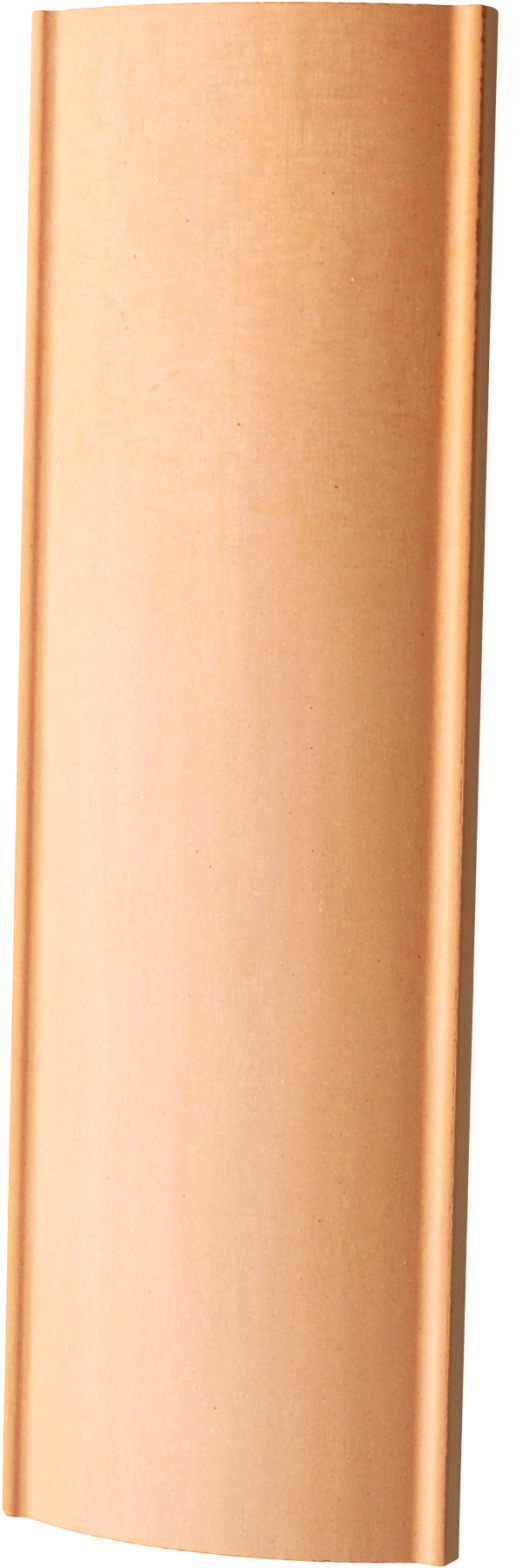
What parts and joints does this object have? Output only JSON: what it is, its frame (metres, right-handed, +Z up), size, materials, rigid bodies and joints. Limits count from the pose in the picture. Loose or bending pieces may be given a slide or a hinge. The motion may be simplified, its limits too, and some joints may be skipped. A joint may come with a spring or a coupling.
{
  "type": "clay roof tile",
  "caption": "Long, shallow-arched clay roof tile with a rounded bead and a hollow along each long edge, laid with others over a pitched roof to cover it and shed rain.",
  "frame": {"origin": "centre of the plane that the two feet bed on, halfway along the tile", "axes": "+Y along the tile, +X across it, +Z up out of the crown of the arch"},
  "size_m": [0.16, 0.5, 0.033],
  "materials": {
    "fired_clay": "unglazed fired clay, matt, pale orange terracotta with a fine sandy grain and small specks"
  },
  "bodies": {
    "root": {"cover_tile": "fired_clay"}
  },
  "joints": []
}
